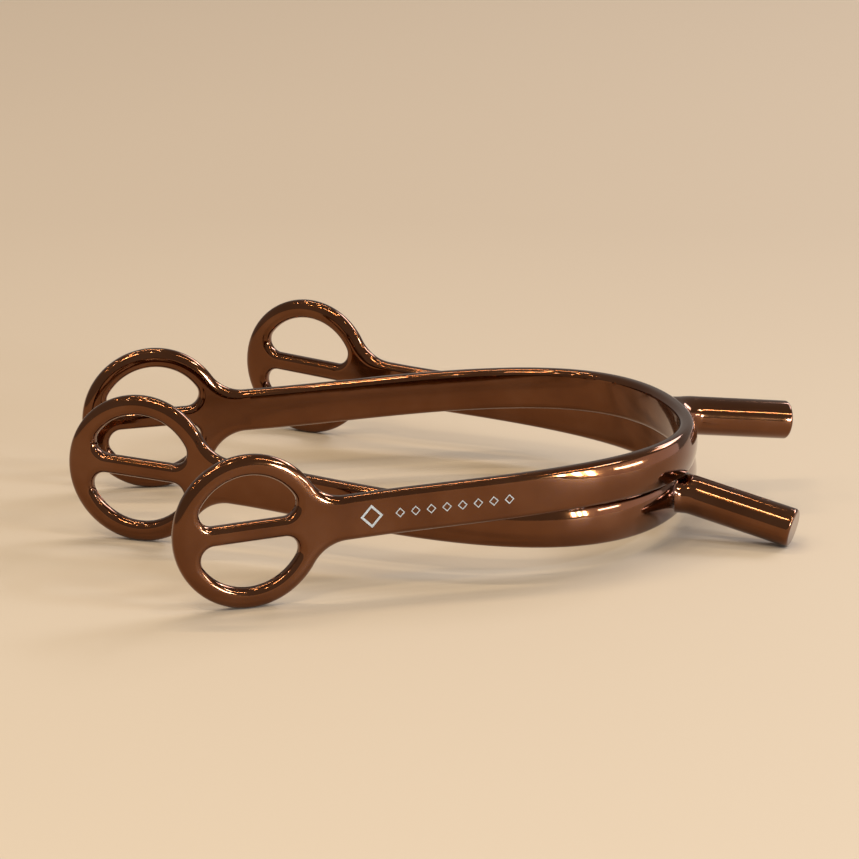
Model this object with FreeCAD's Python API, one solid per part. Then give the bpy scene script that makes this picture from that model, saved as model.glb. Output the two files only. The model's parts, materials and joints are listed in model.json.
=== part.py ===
import FreeCAD, Part
import math
import os

from FreeCAD import Placement, Rotation, Vector

# A pair of plain metal riding spurs, the left one resting on the right one.
# Each spur is a heel band, a bent round neck and two slotted strap eyes.
#
# Spur frame: the middle of the band at the heel is the origin, +X runs back
# along the neck, +Y is one side and -Y the other, +Z is up. All in millimetres.

# Strap eyes
EYE_RADIUS = 13.0
EYE_TOE_OUT = 4.5          # degrees that each eye plate turns out
SLOT_RADIUS = 9.55         # the curved side of each strap slot
SLOT_CORNER_RADIUS = 2.3
BAR_HALF_HEIGHT = 1.65     # the crossbar between the two slots
TAB_LENGTH = 17.6          # from the eye centre to the weld with the band
TAB_FILLET_RADIUS = 7.0    # where the round eye runs into its tab

# Heel band, of the same strip as the eyes
PLATE_THICKNESS = 2.75
BAND_HEIGHT = 7.6
EDGE_ROUND = 1.15
ARM_GUIDE_BACK = -45.3     # where along the spur each arm's curve is pulled outward
WELD_GUIDE = 10.0          # how far the curve aims straight back from each weld

# Neck
NECK_RADIUS = 3.45
NECK_RISE = 0.3            # the neck's centre above the band's middle
NECK_STRAIGHT = 1.1        # from the band's outer face to the start of the bend
NECK_BEND_RADIUS = 9.0
NECK_LENGTH = 19.0         # from the middle of the bend to the end face
NECK_END_ROUND = 0.6
ROOT_WIDENING = 2.9        # how much wider the neck grows on each side at the band
ROOT_FLATTENING = 0.15     # how much lower it grows there
ROOT_LENGTH = 3.2
ROOT_SECTIONS = 8
ROOT_SINK = 1.0            # how far the root starts below the band's outer face

TOLERANCE = 0.01           # for telling edges apart by their place

# The two spurs are bent by hand, so they differ a little:
#   outer_side   the side of the spur that faces away from the horse
#   eye_back     from the heel to the line through both eye centres
#   eye_spread   from the spur's middle plane to each eye centre
#   fullness     how far the band's curve aims straight out across the heel
#   arm_pull     how far out each arm's curve is pulled
#   neck_bend    degrees that the neck turns down
#   eyes_at      the table point below the middle of the two eye centres
#   yaw, pitch   degrees turned about that point; pitch lifts the neck
SPURS = {
    "right": {
        "outer_side": 1,
        "eye_back": 84.8,
        "eye_spread": 38.3,
        "fullness": 46.2,
        "arm_pull": 37.5,
        "neck_bend": 8.8,
        "eyes_at": (-36.6, 9.4),
        "yaw": -20.25,
        "pitch": -3.84,
    },
    "left": {
        "outer_side": -1,
        "eye_back": 86.4,
        "eye_spread": 36.6,
        "fullness": 44.0,
        "arm_pull": 32.3,
        "neck_bend": 8.8,
        "eyes_at": (-39.7, -28.4),
        "yaw": 16.4,
        "pitch": 2.3,
    },
}


def arc_edge(start, middle, end):
    """Circular arc through three points."""
    return Part.Arc(start, middle, end).toShape()


def line_edge(start, end):
    return Part.LineSegment(start, end).toShape()


def on_circle(centre, radius, degrees):
    """Point at an angle on a circle in the XY plane."""
    turn = math.radians(degrees)
    return centre + Vector(math.cos(turn), math.sin(turn), 0) * radius


def toe_direction(side):
    """Unit vector from an eye centre forward to its weld, in the spur's plan."""
    return on_circle(Vector(), 1, -EYE_TOE_OUT * side)


def eye_centre(spur, side):
    return Vector(-spur["eye_back"], spur["eye_spread"] * side, 0)


# ---------------------------------------------------------------- heel band

def arm_curve(spur, side):
    """Plan curve of one arm, from the heel to the weld with its eye."""
    direction = toe_direction(side)
    weld = eye_centre(spur, side) + direction * TAB_LENGTH
    curve = Part.BezierCurve()
    curve.setPoles([
        Vector(0, 0, 0),
        Vector(0, spur["fullness"] * side, 0),
        Vector(ARM_GUIDE_BACK, spur["arm_pull"] * side, 0),
        weld + direction * WELD_GUIDE,
        weld,
    ])
    return curve


def strip_section():
    """The strip's rounded section in the YZ plane: thickness along Y, height along Z."""
    half_y = PLATE_THICKNESS / 2
    half_z = BAND_HEIGHT / 2
    inset = EDGE_ROUND * (1 - math.sqrt(0.5))
    arcs = []
    for sign_y, sign_z in ((1, 1), (-1, 1), (-1, -1), (1, -1)):
        arcs.append(arc_edge(Vector(0, sign_y * half_y, sign_z * (half_z - EDGE_ROUND)),
                             Vector(0, sign_y * (half_y - inset), sign_z * (half_z - inset)),
                             Vector(0, sign_y * (half_y - EDGE_ROUND), sign_z * half_z)))
    on_faces = [arc.Vertexes[0].Point for arc in arcs]
    on_edges = [arc.Vertexes[1].Point for arc in arcs]
    lines = [line_edge(on_edges[0], on_edges[1]), line_edge(on_faces[1], on_faces[2]),
             line_edge(on_edges[2], on_edges[3]), line_edge(on_faces[3], on_faces[0])]
    return Part.Wire(Part.__sortEdges__(arcs + lines))


def heel_band(spur):
    """The strip that goes round the back of the boot, rounded along its edges."""
    arms = [arm_curve(spur, 1), arm_curve(spur, -1)]
    path = Part.Wire(Part.__sortEdges__([curve.toShape() for curve in arms]))
    section = strip_section()
    first_weld = arms[0].getPole(5)
    section.Placement = Placement(first_weld, Rotation(Vector(0, 0, 1), -EYE_TOE_OUT))
    return path.makePipeShell([section], True, False)


# ---------------------------------------------------------------- strap eyes

def mirrored(point):
    """The point on the other side of the XZ plane."""
    return Vector(point.x, -point.y, point.z)


def eye_outline():
    """Round eye with a tab along +X, in the XY plane."""
    half_tab = BAND_HEIGHT / 2
    fillet_y = half_tab + TAB_FILLET_RADIUS
    fillet_x = math.sqrt((EYE_RADIUS + TAB_FILLET_RADIUS) ** 2 - fillet_y ** 2)
    fillet_centre = Vector(fillet_x, fillet_y, 0)
    slope = math.degrees(math.atan2(fillet_y, fillet_x))
    on_eye = on_circle(Vector(), EYE_RADIUS, slope)
    fillet_middle = on_circle(fillet_centre, TAB_FILLET_RADIUS, (180 + slope + 270) / 2)
    on_tab = Vector(fillet_x, half_tab, 0)
    tab_end = Vector(TAB_LENGTH, half_tab, 0)
    return Part.Wire([
        line_edge(mirrored(tab_end), tab_end),
        line_edge(tab_end, on_tab),
        arc_edge(on_tab, fillet_middle, on_eye),
        arc_edge(on_eye, Vector(-EYE_RADIUS, 0, 0), mirrored(on_eye)),
        arc_edge(mirrored(on_eye), mirrored(fillet_middle), mirrored(on_tab)),
        line_edge(mirrored(on_tab), mirrored(tab_end)),
    ])


def strap_slot(side):
    """D-shaped slot above (1) or below (-1) the crossbar, in the XY plane."""
    corner_y = BAR_HALF_HEIGHT + SLOT_CORNER_RADIUS
    corner_x = math.sqrt((SLOT_RADIUS - SLOT_CORNER_RADIUS) ** 2 - corner_y ** 2)
    slope = math.degrees(math.atan2(corner_y, corner_x))
    corner = Vector(corner_x, corner_y, 0)
    on_bar = Vector(corner_x, BAR_HALF_HEIGHT, 0)
    corner_middle = on_circle(corner, SLOT_CORNER_RADIUS, (slope - 90) / 2)
    on_arc = on_circle(Vector(), SLOT_RADIUS, slope)

    def placed(point, end):
        return Vector(point.x * end, point.y * side, 0)

    return Part.Wire([
        line_edge(placed(on_bar, -1), placed(on_bar, 1)),
        arc_edge(placed(on_bar, 1), placed(corner_middle, 1), placed(on_arc, 1)),
        arc_edge(placed(on_arc, 1), Vector(0, SLOT_RADIUS * side, 0), placed(on_arc, -1)),
        arc_edge(placed(on_arc, -1), placed(corner_middle, -1), placed(on_bar, -1)),
    ])


def edges_to_round(plate):
    """The edges along both faces of a flat eye plate, apart from the weld's own."""
    edges = []
    for edge in plate.Edges:
        box = edge.BoundBox
        level = box.ZLength < TOLERANCE
        in_face = level and abs(abs(box.ZMin) - PLATE_THICKNESS / 2) < TOLERANCE
        at_weld = box.XMin > TAB_LENGTH - TOLERANCE
        if in_face and not at_weld:
            edges.append(edge)
    return edges


def strap_eye(spur, side):
    """Round plate with two strap slots, in the spur frame."""
    profile = Part.Face([eye_outline(), strap_slot(1), strap_slot(-1)])
    profile.validate()
    profile.translate(Vector(0, 0, -PLATE_THICKNESS / 2))
    plate = profile.extrude(Vector(0, 0, PLATE_THICKNESS))
    plate = plate.makeFillet(EDGE_ROUND, edges_to_round(plate))
    plate.rotate(Vector(), Vector(1, 0, 0), 90)
    plate.rotate(Vector(), Vector(0, 0, 1), -EYE_TOE_OUT * side)
    plate.translate(eye_centre(spur, side))
    return plate


# ---------------------------------------------------------------- neck

def neck_axis(distance, bend_degrees):
    """Point and degrees turned down, at a distance along the neck from the band's outer face."""
    start = Vector(PLATE_THICKNESS / 2, 0, NECK_RISE)
    if distance <= NECK_STRAIGHT:
        return start + Vector(distance, 0, 0), 0
    bend_length = NECK_BEND_RADIUS * math.radians(bend_degrees)
    in_bend = min(distance - NECK_STRAIGHT, bend_length)
    turn = in_bend / NECK_BEND_RADIUS
    bent = Vector(math.sin(turn), 0, math.cos(turn) - 1) * NECK_BEND_RADIUS
    beyond = distance - NECK_STRAIGHT - in_bend
    straight = Vector(math.cos(turn), 0, -math.sin(turn)) * beyond
    return start + Vector(NECK_STRAIGHT, 0, 0) + bent + straight, math.degrees(turn)


def neck_section(distance, spread, bend_degrees):
    """Elliptical wire across the neck; spread is 1 at the band and 0 on the round rod."""
    half_width = NECK_RADIUS + ROOT_WIDENING * spread
    half_height = NECK_RADIUS - ROOT_FLATTENING * spread
    point, degrees = neck_axis(distance, bend_degrees)
    wire = Part.Wire(Part.Ellipse(Vector(), half_width, half_height).toShape())
    upright = Rotation(Vector(0, 1, 0), Vector(0, 0, 1), Vector(1, 0, 0))
    wire.Placement = Placement(point, Rotation(Vector(0, 1, 0), degrees) * upright)
    return wire


def rod_direction(degrees):
    turn = math.radians(degrees)
    return Vector(math.cos(turn), 0, -math.sin(turn))


def neck_root(bend_degrees):
    """Trumpet from inside the band, round the bend, to the round rod."""
    sections = [neck_section(-ROOT_SINK, 1, bend_degrees)]
    for index in range(ROOT_SECTIONS):
        turn = math.pi / 2 * index / ROOT_SECTIONS
        distance = ROOT_LENGTH * (1 - math.cos(turn))
        sections.append(neck_section(distance, 1 - math.sin(turn), bend_degrees))
    end, degrees = neck_axis(ROOT_LENGTH, bend_degrees)
    circle = Part.Circle(end, rod_direction(degrees), NECK_RADIUS)
    sections.append(Part.Wire(circle.toShape()))
    return Part.makeLoft(sections, True)


def neck_rod(bend_degrees):
    """The straight round rod from the root to the neck's end face."""
    start, degrees = neck_axis(ROOT_LENGTH, bend_degrees)
    half_bend = NECK_BEND_RADIUS * math.tan(math.radians(bend_degrees / 2))
    to_bend_end = ROOT_LENGTH - NECK_STRAIGHT - NECK_BEND_RADIUS * math.radians(bend_degrees)
    length = NECK_LENGTH - half_bend - to_bend_end
    direction = rod_direction(degrees)
    rod = Part.makeCylinder(NECK_RADIUS, length, start, direction)
    end = start + direction * length
    rim = [edge for edge in rod.Edges
           if (edge.CenterOfMass - end).Length < TOLERANCE and edge.isClosed()]
    return rod.makeFillet(NECK_END_ROUND, rim)


def neck(spur, band):
    """The neck with its root, cut to the band's outer face."""
    bend_degrees = spur["neck_bend"]
    whole = neck_root(bend_degrees).fuse(neck_rod(bend_degrees)).removeSplitter()
    return whole.cut(band)


# ---------------------------------------------------------------- the pair

def lay_down(shape, spur):
    """Put a shape from the spur frame where its spur lies on the table."""
    shape = shape.copy()
    shape.translate(Vector(spur["eye_back"], 0, 0))
    shape.rotate(Vector(), Vector(0, 1, 0), -spur["pitch"])
    shape.rotate(Vector(), Vector(0, 0, 1), spur["yaw"])
    shape.translate(Vector(*spur["eyes_at"], EYE_RADIUS))
    return shape


def spur_nodes(name, spur):
    """Every piece of one spur, laid down, by node name."""
    band = heel_band(spur)
    pieces = {
        "heel_band": band,
        "neck": neck(spur, band),
        "outer_eye": strap_eye(spur, spur["outer_side"]),
        "inner_eye": strap_eye(spur, -spur["outer_side"]),
    }
    return {f"{name}_{piece}": lay_down(shape, spur) for piece, shape in pieces.items()}


def single_solid(shape, name):
    """The one solid of a shape, or a plain message if it has another number."""
    if len(shape.Solids) != 1 or not shape.Solids[0].isValid():
        raise ValueError(f"{name} has {len(shape.Solids)} solids, or one that is not valid")
    return shape.Solids[0]


def main():
    nodes = {}
    for name, spur in SPURS.items():
        nodes.update(spur_nodes(name, spur))
    box = Part.makeCompound(list(nodes.values())).optimalBoundingBox(False, False)
    to_origin = Vector(-box.Center.x, -box.Center.y, -box.ZMin)
    print("moved by", to_origin, "size", box.XLength, box.YLength, box.ZLength)
    os.makedirs("parts", exist_ok=True)
    for name, shape in nodes.items():
        solid = single_solid(shape, name)
        solid.translate(to_origin)
        solid.exportStep(f"parts/{name}.step")
        print(name, "volume", round(solid.Volume, 1))


main()
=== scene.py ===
import json
import math

import bmesh
import bpy
import numpy as np
from mathutils import Matrix, Vector


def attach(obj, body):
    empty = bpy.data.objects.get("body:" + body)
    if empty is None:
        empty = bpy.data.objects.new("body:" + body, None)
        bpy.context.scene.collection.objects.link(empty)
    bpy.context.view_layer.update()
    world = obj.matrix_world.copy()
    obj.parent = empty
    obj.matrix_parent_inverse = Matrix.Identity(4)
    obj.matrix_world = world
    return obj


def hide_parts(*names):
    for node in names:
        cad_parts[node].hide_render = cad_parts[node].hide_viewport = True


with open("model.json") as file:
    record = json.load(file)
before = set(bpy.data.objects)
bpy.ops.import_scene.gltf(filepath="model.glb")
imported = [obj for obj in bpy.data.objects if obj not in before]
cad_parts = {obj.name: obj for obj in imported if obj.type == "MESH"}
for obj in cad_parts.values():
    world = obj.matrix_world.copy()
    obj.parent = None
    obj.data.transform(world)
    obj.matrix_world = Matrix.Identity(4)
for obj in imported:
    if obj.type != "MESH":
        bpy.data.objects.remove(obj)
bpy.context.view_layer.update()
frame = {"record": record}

# A pair of coated metal spurs. Each piece is meshed in its spur's own frame, in
# metres: the heel is the origin, +X runs back along the neck, +Z is up. The
# record's mounts say where that frame lies.

MM = 0.001

# Strap eyes
EYE_RADIUS = 13.0 * MM
SLOT_RADIUS = 9.55 * MM
SLOT_CORNER_RADIUS = 2.3 * MM
BAR_HALF_HEIGHT = 1.65 * MM
TAB_LENGTH = 17.6 * MM
TAB_FILLET_RADIUS = 7.0 * MM
EYE_TOE_OUT = math.radians(4.5)
EYE_RIM_ROUND = 1.9 * MM           # how far the eye's worn rim rounds over its faces
SLOT_RIM_ROUND = 1.25 * MM         # and the same round the slots

# Heel band
PLATE_THICKNESS = 2.75 * MM
BAND_HEIGHT = 7.6 * MM
EDGE_ROUND = 1.15 * MM
ARM_GUIDE_BACK = -45.3 * MM
WELD_GUIDE = 10.0 * MM
CROWN_TILT = math.radians(22.0)    # how far the outer face leans at its edges, at the heel
CROWN_STARTS = 0.74                # share of each arm, from the heel, where the face goes flat
CROWN_FULL = 0.42                  # and where it is fully crowned

# Neck
NECK_RADIUS = 3.45 * MM
NECK_RISE = 0.3 * MM
NECK_STRAIGHT = 1.1 * MM
NECK_BEND_RADIUS = 9.0 * MM
NECK_LENGTH = 19.0 * MM
NECK_END_ROUND = 0.6 * MM
ROOT_WIDENING = 3.2 * MM
ROOT_FLATTENING = 0.15 * MM
ROOT_LENGTH = 3.4 * MM
ROOT_SINK = 0.8 * MM

# Printed mark on each outer arm: an open lozenge, then a row of small ones. Distances are
# from the weld.
MARK_AT = 3.3 * MM
MARK_HALF_LENGTH = 2.0 * MM
MARK_HALF_HEIGHT = 2.0 * MM
MARK_ROW = (8.3 * MM, 27.3 * MM)
MARK_ROW_COUNT = 8
MARK_ROW_SCALE = 0.42              # the small lozenges' size beside the first one's
MARK_STROKE = 0.27                 # share of each lozenge that its outline takes
MARK_LIFT = 0.02 * MM              # how far the ink stands off the band
MARK_DEPTH = 0.10 * MM

# How fine the meshes are
ROUND_STEPS = 8                    # steps round each rounded edge
FLAT_RIM = 0.12 * MM               # a narrow flat strip that keeps the faces' shading flat
ARM_STATIONS = 101
CURVE_SAMPLES = 2001               # for measuring along an arm's curve
ARC_STEP = math.radians(3.0)
NECK_SIDES = 96
ROD_RINGS = 14

# Lacquer: its colours as linear reflectance, and how wide its clouds, haze and waves are
LACQUER_DEEP = (0.116, 0.038, 0.010)
LACQUER = (0.139, 0.048, 0.014)
LACQUER_ROSE = (0.158, 0.061, 0.024)
LACQUER_ROUGHNESS = (0.07, 0.12)
CLOUD_SIZE = 9.0 * MM
HAZE_SIZE = 1.2 * MM
WAVE_SIZE = 3.2 * MM
WAVE_HEIGHT = 0.007 * MM
COAT_WEIGHT = 0.4
COAT_ROUGHNESS = 0.03
COAT_IOR = 1.5

# Silver ink
INK_DARK = (0.37, 0.38, 0.35)
INK_PALE = (0.47, 0.48, 0.44)
INK_GRAIN = 0.25 * MM
INK_METALLIC = 0.35
INK_ROUGHNESS = (0.35, 0.5)

# How each spur differs: the side that faces away from the horse, how far the band's curve
# aims straight out across the heel, and how far out each arm's curve is pulled
SPURS = {
    "right": {"outer_side": 1, "fullness": 46.2 * MM, "arm_pull": 37.5 * MM},
    "left": {"outer_side": -1, "fullness": 44.0 * MM, "arm_pull": 32.3 * MM},
}


# ---------------------------------------------------------------- places

MOUNTS = {mount["name"]: mount for mount in frame["record"]["mounts"]}


class Spur:
    """Where one spur lies, and the sizes that its mounts give."""

    def __init__(self, name):
        self.name = name
        self.outer = SPURS[name]["outer_side"]
        self.fullness = SPURS[name]["fullness"]
        self.arm_pull = SPURS[name]["arm_pull"]
        eyes = {
            self.outer: Vector(MOUNTS[f"{name}_outer_strap_slots"]["pos_m"]),
            -self.outer: Vector(MOUNTS[f"{name}_inner_strap_slots"]["pos_m"]),
        }
        seat = Vector(MOUNTS[f"{name}_boot_seat"]["pos_m"])
        middle = (eyes[1] + eyes[-1]) / 2
        back = (seat - middle).normalized()
        across = (eyes[1] - eyes[-1]).normalized()
        heel = seat + back * PLATE_THICKNESS / 2
        self.eye_back = (heel - middle).length
        self.half_spread = (eyes[1] - eyes[-1]).length / 2
        axes = Matrix((back, across, back.cross(across))).transposed()
        self.matrix = Matrix.Translation(heel) @ axes.to_4x4()
        rod = axes.transposed() @ Vector(MOUNTS[f"{name}_neck_end"]["axis"])
        self.bend = math.atan2(-rod.z, rod.x)

    def eye_centre(self, side):
        return np.array([-self.eye_back, self.half_spread * side])

    def arm_poles(self, side):
        """Control points of one arm's plan curve, from the heel to the weld."""
        direction = np.array([math.cos(EYE_TOE_OUT), -side * math.sin(EYE_TOE_OUT)])
        weld = self.eye_centre(side) + direction * TAB_LENGTH
        return np.array([
            (0.0, 0.0),
            (0.0, self.fullness * side),
            (ARM_GUIDE_BACK, self.arm_pull * side),
            weld + direction * WELD_GUIDE,
            weld,
        ])


# ---------------------------------------------------------------- mesh helpers

def shade(work):
    """Outward normals, and smooth shading except on the closing caps, which have many corners."""
    bmesh.ops.recalc_face_normals(work, faces=work.faces)
    for face in work.faces:
        face.smooth = len(face.verts) <= 4
    for edge in work.edges:
        edge.smooth = all(face.smooth for face in edge.link_faces)


def new_piece(name, work):
    """Shaded mesh object from a bmesh, which is freed."""
    shade(work)
    mesh = bpy.data.meshes.new(name)
    work.to_mesh(mesh)
    work.free()
    piece = bpy.data.objects.new(name, mesh)
    bpy.context.scene.collection.objects.link(piece)
    return piece


def build_piece(name, spur, vertices, faces):
    """Mesh object from vertices in the spur frame, placed where its spur lies."""
    work = bmesh.new()
    corners = [work.verts.new(spur.matrix @ Vector(vertex)) for vertex in vertices]
    for face in faces:
        work.faces.new([corners[index] for index in face])
    return new_piece(name, work)


def ring_faces(rows, columns):
    """Quads between successive rings of a tube."""
    faces = []
    for row in range(rows - 1):
        for column in range(columns):
            following = (column + 1) % columns
            faces.append((row * columns + column, row * columns + following,
                          (row + 1) * columns + following, (row + 1) * columns + column))
    return faces


def build_tube(name, spur, rings):
    """Mesh object through rings of points, closed by a flat cap at each end."""
    columns = len(rings[0])
    vertices = [vertex for ring in rings for vertex in ring]
    faces = ring_faces(len(rings), columns)
    faces.append(tuple(range(columns)))
    faces.append(tuple(range(len(vertices) - columns, len(vertices))))
    return build_piece(name, spur, vertices, faces)


def smooth_step(value):
    clamped = min(max(value, 0.0), 1.0)
    return clamped * clamped * (3 - 2 * clamped)


# ---------------------------------------------------------------- heel band

def bezier(poles, share):
    """Point and tangent of a quartic Bezier curve."""
    binomial = (1, 4, 6, 4, 1)
    point = sum(binomial[i] * (1 - share) ** (4 - i) * share ** i * poles[i] for i in range(5))
    steps = np.diff(poles, axis=0)
    binomial = (1, 3, 3, 1)
    tangent = sum(binomial[i] * (1 - share) ** (3 - i) * share ** i * steps[i] for i in range(4))
    return point, tangent / np.linalg.norm(tangent)


class Arm:
    """The plan curve of one arm, measured by distance from the heel."""

    def __init__(self, spur, side):
        self.side = side
        self.poles = spur.arm_poles(side)
        self.shares = np.linspace(0, 1, CURVE_SAMPLES)
        points = np.array([bezier(self.poles, share)[0] for share in self.shares])
        steps = np.linalg.norm(np.diff(points, axis=0), axis=1)
        self.distances = np.concatenate([[0], np.cumsum(steps)])
        self.length = self.distances[-1]

    def at(self, distance):
        """Point, and the direction out of the spur, at a distance from the heel."""
        share = np.interp(distance, self.distances, self.shares)
        point, tangent = bezier(self.poles, share)
        return point, np.array([tangent[1], -tangent[0]]) * self.side


def crown_tilt(along):
    """How far the outer face leans at its edges, at a share of the arm's length from the heel."""
    flatness = (along - CROWN_FULL) / (CROWN_STARTS - CROWN_FULL)
    return CROWN_TILT * (1 - smooth_step(flatness))


def outer_face(tilt, up):
    """How far out the band's outer face stands at a height, between its rounded corners."""
    edge_out = PLATE_THICKNESS / 2 - EDGE_ROUND * (1 - math.cos(tilt))
    edge_up = BAND_HEIGHT / 2 - EDGE_ROUND * (1 - math.sin(tilt))
    return edge_out + edge_up * math.tan(tilt / 2) * (1 - (up / edge_up) ** 2)


def band_section(tilt):
    """The strip's section as (outward, up) points: its outer face leans by tilt at its edges."""
    corner_out = PLATE_THICKNESS / 2 - EDGE_ROUND
    corner_up = BAND_HEIGHT / 2 - EDGE_ROUND
    points = []
    for index in range(ROUND_STEPS + 1):       # inner top corner, from the inner face up
        turn = math.pi - math.pi / 2 * index / ROUND_STEPS
        points.append((-corner_out + EDGE_ROUND * math.cos(turn),
                       corner_up + EDGE_ROUND * math.sin(turn)))
    for index in range(ROUND_STEPS + 1):       # outer top corner, down to the crown's edge
        turn = math.pi / 2 + (tilt - math.pi / 2) * index / ROUND_STEPS
        points.append((corner_out + EDGE_ROUND * math.cos(turn),
                       corner_up + EDGE_ROUND * math.sin(turn)))
    edge_up = points[-1][1]
    for index in range(1, ROUND_STEPS + 1):    # outer face, down to the middle
        up = edge_up * (1 - index / ROUND_STEPS)
        points.append((outer_face(tilt, up), up))
    lower = [(out, -up) for out, up in reversed(points[:-1])]
    return points + lower


def arm_rings(arm):
    """Rings of points round the strip, from the heel to the weld."""
    rings = []
    for distance in np.linspace(0, arm.length, ARM_STATIONS):
        point, outward = arm.at(distance)
        rings.append([(*(point + outward * out), up)
                      for out, up in band_section(crown_tilt(distance / arm.length))])
    return rings


def make_band(spur):
    rings = arm_rings(Arm(spur, 1))[::-1] + arm_rings(Arm(spur, -1))[1:]
    return build_tube(f"{spur.name}_heel_band_metal", spur, rings)


# ---------------------------------------------------------------- printed mark

def on_outer_face(arm, from_weld, up, lift):
    """Point above the arm's outer face, at a distance from the weld and a height."""
    from_heel = arm.length - from_weld
    point, outward = arm.at(from_heel)
    face_out = outer_face(crown_tilt(from_heel / arm.length), up)
    place = point + outward * (face_out + lift)
    return (*place, up)


def lozenge_frame(arm, from_weld, scale):
    """Vertices and faces of one thin open lozenge that lies on the arm's outer face."""
    half_length = MARK_HALF_LENGTH * scale
    half_height = MARK_HALF_HEIGHT * scale
    outer = [(-half_length, 0), (0, half_height), (half_length, 0), (0, -half_height)]
    inner = [(along * (1 - MARK_STROKE), up * (1 - MARK_STROKE)) for along, up in outer]
    rings = [(outer, MARK_LIFT), (inner, MARK_LIFT), (inner, -MARK_DEPTH), (outer, -MARK_DEPTH)]
    vertices = [on_outer_face(arm, from_weld + along, up, lift)
                for corners, lift in rings for along, up in corners]
    faces = []
    for ring in range(4):
        for corner in range(4):
            here, there = ring * 4, (ring + 1) % 4 * 4
            following = (corner + 1) % 4
            faces.append((here + corner, here + following, there + following, there + corner))
    return vertices, faces


def make_mark(spur):
    arm = Arm(spur, spur.outer)
    lozenges = [(MARK_AT, 1.0)]
    lozenges += [(distance, MARK_ROW_SCALE) for distance in np.linspace(*MARK_ROW, MARK_ROW_COUNT)]
    vertices, faces = [], []
    for from_weld, scale in lozenges:
        corners, sides = lozenge_frame(arm, from_weld, scale)
        faces += [tuple(len(vertices) + index for index in side) for side in sides]
        vertices += corners
    piece = build_piece(f"{spur.name}_printed_mark", spur, vertices, faces)
    for face in piece.data.polygons:
        face.use_smooth = False
    return piece


# ---------------------------------------------------------------- strap eyes

def arc_samples(centre, radius, start, end, outward):
    """Points on an arc with their normals; outward is 1 away from the centre, -1 towards it."""
    count = max(2, int(abs(end - start) / ARC_STEP) + 1)
    samples = []
    for turn in np.linspace(start, end, count + 1):
        spoke = np.array([math.cos(turn), math.sin(turn)])
        samples.append((centre + spoke * radius, spoke * outward))
    return samples


def eye_outline():
    """Outline of the eye and its tab with normals, from the weld's top round to its bottom."""
    half_tab = BAND_HEIGHT / 2
    fillet_y = half_tab + TAB_FILLET_RADIUS
    fillet_x = math.sqrt((EYE_RADIUS + TAB_FILLET_RADIUS) ** 2 - fillet_y ** 2)
    slope = math.atan2(fillet_y, fillet_x)
    upper = [(np.array([TAB_LENGTH, half_tab]), np.array([0.0, 1.0]))]
    upper += arc_samples(np.array([fillet_x, fillet_y]), TAB_FILLET_RADIUS,
                         1.5 * math.pi, math.pi + slope, -1)
    upper += arc_samples(np.zeros(2), EYE_RADIUS, slope, math.pi, 1)[1:]
    flip = np.array([1.0, -1.0])
    lower = [(point * flip, normal * flip) for point, normal in reversed(upper[:-1])]
    return upper + lower


def slot_outline(side):
    """Closed outline of one strap slot, with normals that point into the slot."""
    corner_y = BAR_HALF_HEIGHT + SLOT_CORNER_RADIUS
    corner_x = math.sqrt((SLOT_RADIUS - SLOT_CORNER_RADIUS) ** 2 - corner_y ** 2)
    slope = math.atan2(corner_y, corner_x)
    half = arc_samples(np.array([corner_x, corner_y]), SLOT_CORNER_RADIUS,
                       -math.pi / 2, slope, -1)
    half += arc_samples(np.zeros(2), SLOT_RADIUS, slope, math.pi / 2, -1)[1:]
    mirror = np.array([-1.0, 1.0])
    whole = half + [(point * mirror, normal * mirror) for point, normal in reversed(half[:-1])]
    flip = np.array([1.0, side])
    return [(point * flip, normal * flip) for point, normal in whole]


def edge_profile(rim):
    """(inset, height) steps over a rim that rounds this far over both faces, front to back."""
    half = PLATE_THICKNESS / 2
    front = [(rim + FLAT_RIM, half)]
    for index in range(ROUND_STEPS + 1):
        turn = math.pi / 2 * (1 - index / ROUND_STEPS)
        front.append((rim * (1 - math.cos(turn)),
                      half - EDGE_ROUND + EDGE_ROUND * math.sin(turn)))
    return front + [(inset, -height) for inset, height in reversed(front)]


def outer_rim(point):
    """The rim's rounding at a point of the outline: the band's own at the weld, then wider."""
    share = (TAB_LENGTH - point[0]) / (TAB_LENGTH - EYE_RADIUS)
    return EDGE_ROUND + (EYE_RIM_ROUND - EDGE_ROUND) * smooth_step(share)


def slot_rim(point):
    """The rim's rounding, which is the same all round a slot."""
    return SLOT_RIM_ROUND


def skin_rim(work, samples, rim, closed):
    """Skin over one outline's rim: its rows of vertices, front to back, and its two edge loops."""
    rows = [[work.verts.new((*(point - normal * inset), height))
             for inset, height in edge_profile(rim(point))]
            for point, normal in samples]
    following = rows[1:] + rows[:1] if closed else rows[1:]
    front, back = [], []
    for here, there in zip(rows, following):
        for column in range(len(here) - 1):
            work.faces.new((here[column], there[column], there[column + 1], here[column + 1]))
        front.append(work.edges.get((here[0], there[0])))
        back.append(work.edges.get((here[-1], there[-1])))
    return rows, front, back


def eye_mesh():
    """The slotted plate with its tab, lying in the XY plane."""
    work = bmesh.new()
    rows, front, back = skin_rim(work, eye_outline(), outer_rim, False)
    for side in (1, -1):
        slot = skin_rim(work, slot_outline(side), slot_rim, True)
        front += slot[1]
        back += slot[2]
    first, last = rows[0], rows[-1]
    work.faces.new(first + last[::-1])
    for edges, column in ((front, 0), (back, -1)):
        edges.append(work.edges.get((first[column], last[column])))
        bmesh.ops.triangle_fill(work, edges=edges, use_beauty=True)
    return work


def make_eye(spur, side, which):
    work = eye_mesh()
    turn = Matrix.Rotation(-EYE_TOE_OUT * side, 4, "Z") @ Matrix.Rotation(math.pi / 2, 4, "X")
    place = Matrix.Translation((*spur.eye_centre(side), 0)) @ turn
    bmesh.ops.transform(work, matrix=spur.matrix @ place, verts=work.verts)
    return new_piece(f"{spur.name}_{which}_eye_metal", work)


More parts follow.
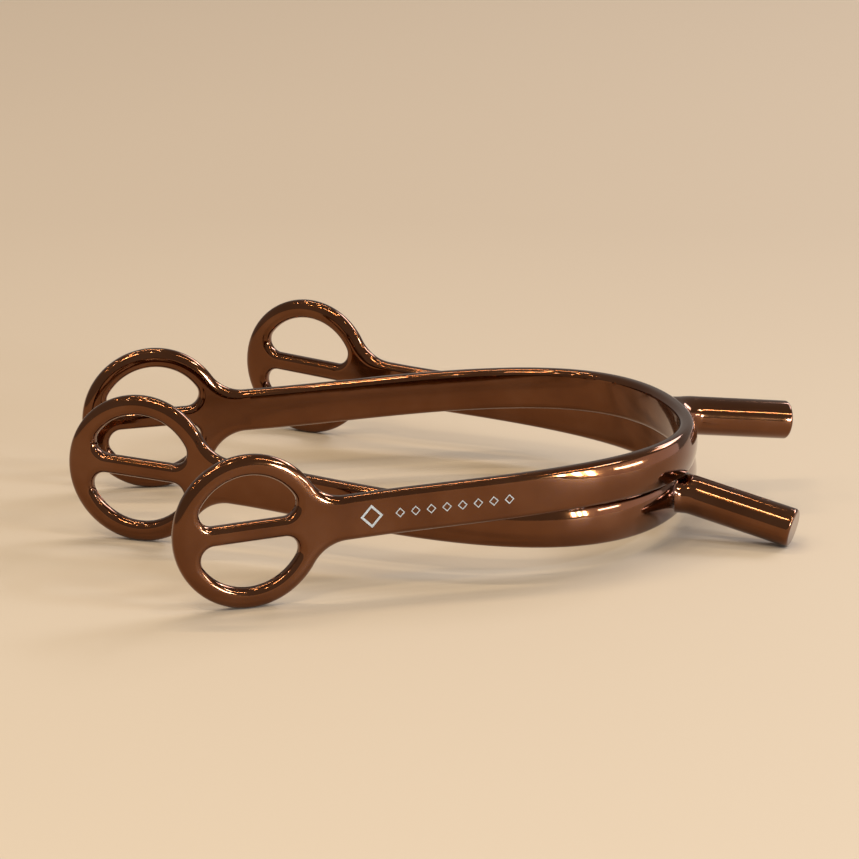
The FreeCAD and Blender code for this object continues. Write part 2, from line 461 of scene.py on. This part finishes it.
# ---------------------------------------------------------------- neck

def neck_axis(distance, bend):
    """Point (x, z) and downward turn, at a distance along the neck from the band's outer face."""
    before = min(distance, NECK_STRAIGHT)
    in_bend = min(max(distance - NECK_STRAIGHT, 0.0), NECK_BEND_RADIUS * bend)
    beyond = distance - before - in_bend
    turn = in_bend / NECK_BEND_RADIUS
    straight_end = PLATE_THICKNESS / 2 + before
    x = straight_end + NECK_BEND_RADIUS * math.sin(turn) + beyond * math.cos(turn)
    z = NECK_RISE + NECK_BEND_RADIUS * (math.cos(turn) - 1) - beyond * math.sin(turn)
    return x, z, turn


def neck_ring(distance, bend, half_width, half_height, hollow):
    """Ring of points across the neck; hollow is the curvature that it follows along the band."""
    x, z, turn = neck_axis(distance, bend)
    ring = []
    for index in range(NECK_SIDES):
        angle = 2 * math.pi * index / NECK_SIDES
        across = half_width * math.cos(angle)
        up = half_height * math.sin(angle)
        ring.append((x + up * math.sin(turn) - hollow * across ** 2 / 2, across,
                     z + up * math.cos(turn)))
    return ring


def heel_curvature(spur):
    """The band's curvature at the heel, where its quartic curve starts."""
    return -3 / 4 * ARM_GUIDE_BACK / spur.fullness ** 2


def root_rings(spur):
    """Rings of the trumpet that spreads over the band's outer face."""
    steps = [(-ROOT_SINK, 1.0)]
    for index in range(2 * ROUND_STEPS):
        turn = math.pi / 4 * index / ROUND_STEPS
        steps.append((ROOT_LENGTH * (1 - math.cos(turn)), 1 - math.sin(turn)))
    return [neck_ring(distance, spur.bend, NECK_RADIUS + ROOT_WIDENING * spread,
                      NECK_RADIUS - ROOT_FLATTENING * spread, heel_curvature(spur) * spread)
            for distance, spread in steps]


def rod_rings(spur):
    """Rings along the round rod to its rounded rim and flat end."""
    length = (NECK_LENGTH + NECK_STRAIGHT + NECK_BEND_RADIUS * spur.bend
              - NECK_BEND_RADIUS * math.tan(spur.bend / 2))
    straight_end = length - NECK_END_ROUND
    stops = [(distance, NECK_RADIUS)
             for distance in np.linspace(ROOT_LENGTH, straight_end, ROD_RINGS)]
    for index in range(1, ROUND_STEPS + 1):
        turn = math.pi / 2 * index / ROUND_STEPS
        stops.append((straight_end + NECK_END_ROUND * math.sin(turn),
                      NECK_RADIUS - NECK_END_ROUND * (1 - math.cos(turn))))
    stops.append((length, NECK_RADIUS - NECK_END_ROUND - FLAT_RIM))
    return [neck_ring(distance, spur.bend, radius, radius, 0.0) for distance, radius in stops]


def make_neck(spur):
    return build_tube(f"{spur.name}_neck_metal", spur, root_rings(spur) + rod_rings(spur))


# ---------------------------------------------------------------- materials

def new_material(name):
    material = bpy.data.materials.new(name)
    material.use_nodes = True
    tree = material.node_tree
    tree.nodes.clear()
    shader = tree.nodes.new("ShaderNodeBsdfPrincipled")
    output = tree.nodes.new("ShaderNodeOutputMaterial")
    tree.links.new(shader.outputs["BSDF"], output.inputs["Surface"])
    return material, tree, shader


def place_of(tree):
    """The surface point in the object's own frame."""
    return tree.nodes.new("ShaderNodeTexCoord").outputs["Object"]


def noise(tree, place, size, detail):
    """Soft noise whose features are about size across."""
    node = tree.nodes.new("ShaderNodeTexNoise")
    node.inputs["Scale"].default_value = 1 / size
    node.inputs["Detail"].default_value = detail
    tree.links.new(place, node.inputs["Vector"])
    return node.outputs["Fac"]


def remap(tree, value, low, high, source=(0.25, 0.75)):
    """Spread a value's source range, by default the middle half of a noise, over low to high."""
    node = tree.nodes.new("ShaderNodeMapRange")
    node.inputs["From Min"].default_value = source[0]
    node.inputs["From Max"].default_value = source[1]
    node.inputs["To Min"].default_value = low
    node.inputs["To Max"].default_value = high
    tree.links.new(value, node.inputs["Value"])
    return node.outputs["Result"]


def blend_colours(tree, value, stops):
    """Colour that runs through (position, colour) stops as a value rises."""
    ramp = tree.nodes.new("ShaderNodeValToRGB")
    elements = ramp.color_ramp.elements
    while len(elements) < len(stops):
        elements.new(0.5)
    for element, (position, colour) in zip(elements, stops):
        element.position = position
        element.color = (*colour, 1)
    tree.links.new(value, ramp.inputs["Fac"])
    return ramp.outputs["Color"]


def bump(tree, height, distance):
    node = tree.nodes.new("ShaderNodeBump")
    node.inputs["Strength"].default_value = 1.0
    node.inputs["Distance"].default_value = distance
    tree.links.new(height, node.inputs["Height"])
    return node.outputs["Normal"]


def coated_metal(name):
    """Brown metallic lacquer over hand-polished steel: cloudy tone, slight waves, fine haze."""
    material, tree, shader = new_material(name)
    place = place_of(tree)
    cloud = noise(tree, place, CLOUD_SIZE, 3.0)
    tones = [(0.30, LACQUER_DEEP), (0.52, LACQUER), (0.72, LACQUER_ROSE)]
    tree.links.new(blend_colours(tree, cloud, tones), shader.inputs["Base Color"])
    shader.inputs["Metallic"].default_value = 1.0
    haze = noise(tree, place, HAZE_SIZE, 4.0)
    tree.links.new(remap(tree, haze, *LACQUER_ROUGHNESS), shader.inputs["Roughness"])
    shader.inputs["Coat Weight"].default_value = COAT_WEIGHT
    shader.inputs["Coat Roughness"].default_value = COAT_ROUGHNESS
    shader.inputs["Coat IOR"].default_value = COAT_IOR
    waves = bump(tree, noise(tree, place, WAVE_SIZE, 1.0), WAVE_HEIGHT)
    tree.links.new(waves, shader.inputs["Normal"])
    tree.links.new(waves, shader.inputs["Coat Normal"])
    return material


def silver_print(name):
    """Pale metallic ink, a little grainy."""
    material, tree, shader = new_material(name)
    grain = noise(tree, place_of(tree), INK_GRAIN, 3.0)
    tone = blend_colours(tree, grain, [(0.35, INK_DARK), (0.65, INK_PALE)])
    tree.links.new(tone, shader.inputs["Base Color"])
    shader.inputs["Metallic"].default_value = INK_METALLIC
    tree.links.new(remap(tree, grain, *INK_ROUGHNESS), shader.inputs["Roughness"])
    return material


# ---------------------------------------------------------------- studio

TARGET = Vector((-1.159, 8.726, 13.001)) * MM     # what the camera looks at
CAMERA_DISTANCE = 656.4 * MM
CAMERA_ELEVATION = math.radians(15.33)
CAMERA_ROLL = math.radians(0.435)
CAMERA_LENS = 153.15               # in mm, as the sensor is
CAMERA_SENSOR = 36.0

LAMP_DISTANCE = 1.5                # from the target to each side lamp
CEILING = 1.3                      # the ceiling lamps' height above the floor
WARM = (1.0, 0.84, 0.62)
COOL = (0.96, 0.94, 1.0)
ROSY = (1.0, 0.86, 0.88)
DAYLIGHT = (0.66, 0.80, 1.0)
WORLD_COLOUR = (1.0, 0.90, 0.80)
WORLD_STRENGTH = 0.32

# The floor's tone from near the camera to far, as linear reflectance, where along Y it fades,
# and how much the fade drifts over what distance. The fade is painted light: the floor is painted
# brighter near the camera and darker far off, as light falls off.
FLOOR_PAINTED_BRIGHT_NEAR = (0.57, 0.467, 0.341)
FLOOR_PAINTED_DIM_FAR = (0.455, 0.365, 0.266)
FLOOR_PAINTED_FALLOFF = (-0.20, 0.25)
FLOOR_DRIFT = (-0.1, 0.1)
FLOOR_DRIFT_SIZE = 0.35
FLOOR_ROUGHNESS = 0.6
FLOOR_WIDTH = 8.0


def make_camera():
    data = bpy.data.cameras.new("camera")
    data.lens = CAMERA_LENS
    data.sensor_width = CAMERA_SENSOR
    data.clip_start = 0.01
    camera = bpy.data.objects.new("camera", data)
    back = Vector((0, -math.cos(CAMERA_ELEVATION), math.sin(CAMERA_ELEVATION)))
    camera.location = TARGET + back * CAMERA_DISTANCE
    level = Matrix.Rotation(math.pi / 2 - CAMERA_ELEVATION, 3, "X")
    camera.rotation_euler = (level @ Matrix.Rotation(CAMERA_ROLL, 3, "Z")).to_euler()
    bpy.context.scene.collection.objects.link(camera)
    bpy.context.scene.camera = camera


def make_floor():
    """Plain pale floor with painted light: paler towards the camera and darker far off, as light
    falls off; and the faintest tonal drift.
    """
    material, tree, shader = new_material("pale_floor")
    place = place_of(tree)
    axes = tree.nodes.new("ShaderNodeSeparateXYZ")
    tree.links.new(place, axes.inputs["Vector"])
    # Painted light: the floor's tone fades from bright near the camera to dim far off along Y.
    away = remap(tree, axes.outputs["Y"], 0.0, 1.0, FLOOR_PAINTED_FALLOFF)
    drift = remap(tree, noise(tree, place, FLOOR_DRIFT_SIZE, 1.0), *FLOOR_DRIFT)
    tone = tree.nodes.new("ShaderNodeMath")
    tone.operation = "ADD"
    tree.links.new(away, tone.inputs[0])
    tree.links.new(drift, tone.inputs[1])
    pale = blend_colours(tree, tone.outputs["Value"], [(0.0, FLOOR_PAINTED_BRIGHT_NEAR), (1.0, FLOOR_PAINTED_DIM_FAR)])
    tree.links.new(pale, shader.inputs["Base Color"])
    shader.inputs["Roughness"].default_value = FLOOR_ROUGHNESS
    bpy.ops.mesh.primitive_plane_add(size=FLOOR_WIDTH, location=(0, 0, 0))
    floor = bpy.context.object
    floor.name = "floor"
    floor.data.materials.append(material)


def make_lamp(name, size, radiance, colour):
    """Rectangular lamp that shines straight down until it is turned, as bright as its radiance."""
    data = bpy.data.lights.new(name, "AREA")
    data.shape = "RECTANGLE"
    data.size, data.size_y = size
    data.energy = radiance * size[0] * size[1] * math.pi
    data.color = colour
    lamp = bpy.data.objects.new(name, data)
    bpy.context.scene.collection.objects.link(lamp)
    return lamp


def ceiling_lamp(name, place, size, radiance):
    """Warm lamp in the ceiling, above a place on the floor."""
    lamp = make_lamp(name, size, radiance, WARM)
    lamp.location = (*place, CEILING)


def side_lamp(name, azimuth, elevation, size, radiance, colour):
    """Lamp aimed at the object. Azimuth 0 is on the camera's side, 90 to the right."""
    lamp = make_lamp(name, size, radiance, colour)
    turn, rise = math.radians(azimuth), math.radians(elevation)
    direction = Vector((math.sin(turn) * math.cos(rise),
                        -math.cos(turn) * math.cos(rise),
                        math.sin(rise)))
    lamp.location = TARGET + direction * LAMP_DISTANCE
    lamp.rotation_euler = direction.to_track_quat("Z", "Y").to_euler()


def make_ceiling():
    """Long tubes and two rows of small spots, whose reflections run along the metal."""
    ceiling_lamp("tube_left", place=(-0.33, -0.80), size=(0.52, 0.040), radiance=85.0)
    ceiling_lamp("tube_right", place=(1.33, -0.85), size=(0.60, 0.030), radiance=85.0)
    ceiling_lamp("tube_back", place=(-0.16, 0.48), size=(0.85, 0.035), radiance=60.0)
    for row, y in enumerate((-0.95, -0.20)):
        for column, x in enumerate((-1.30, -0.85, -0.40, 0.30)):
            ceiling_lamp(f"spot_{row}_{column}", place=(x, y), size=(0.05, 0.05), radiance=170.0)


def make_windows():
    """Soft light from the right and behind, and the bright windows that the metal mirrors."""
    side_lamp("window", 132, 36, size=(1.0, 0.36), radiance=8.5, colour=COOL)
    side_lamp("wall", 85, 8, size=(1.9, 0.6), radiance=1.0, colour=ROSY)
    side_lamp("low_window", 73, 10, size=(0.42, 0.06), radiance=60.0, colour=DAYLIGHT)
    side_lamp("high_window", 68, 33, size=(0.30, 0.06), radiance=90.0, colour=DAYLIGHT)
    side_lamp("back_window", 125, 35, size=(0.35, 0.08), radiance=40.0, colour=DAYLIGHT)
    for index, azimuth in enumerate((46.5, 50.5, 54.5)):
        side_lamp(f"far_window_{index}", azimuth, 8, size=(0.055, 0.22), radiance=120.0,
                  colour=DAYLIGHT)


def make_world():
    world = bpy.data.worlds.new("studio")
    bpy.context.scene.world = world
    world.use_nodes = True
    background = world.node_tree.nodes["Background"]
    background.inputs["Color"].default_value = (*WORLD_COLOUR, 1)
    background.inputs["Strength"].default_value = WORLD_STRENGTH


# ---------------------------------------------------------------- the pair

def dress(spur, metal, ink):
    """Every piece of one spur, riding on its body."""
    pieces = {
        "heel_band": make_band(spur),
        "neck": make_neck(spur),
        "outer_eye": make_eye(spur, spur.outer, "outer"),
        "inner_eye": make_eye(spur, -spur.outer, "inner"),
    }
    for node, piece in pieces.items():
        piece.data.materials.append(metal)
        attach(piece, f"{spur.name}_spur")
        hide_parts(f"{spur.name}_{node}")
    mark = make_mark(spur)
    mark.data.materials.append(ink)
    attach(mark, f"{spur.name}_spur")


bpy.context.scene.view_settings.view_transform = "Standard"
metal = coated_metal("brown_coated_metal")
ink = silver_print("silver_print")
for name in ("right", "left"):
    dress(Spur(name), metal, ink)
make_floor()
make_world()
make_ceiling()
make_windows()
make_camera()
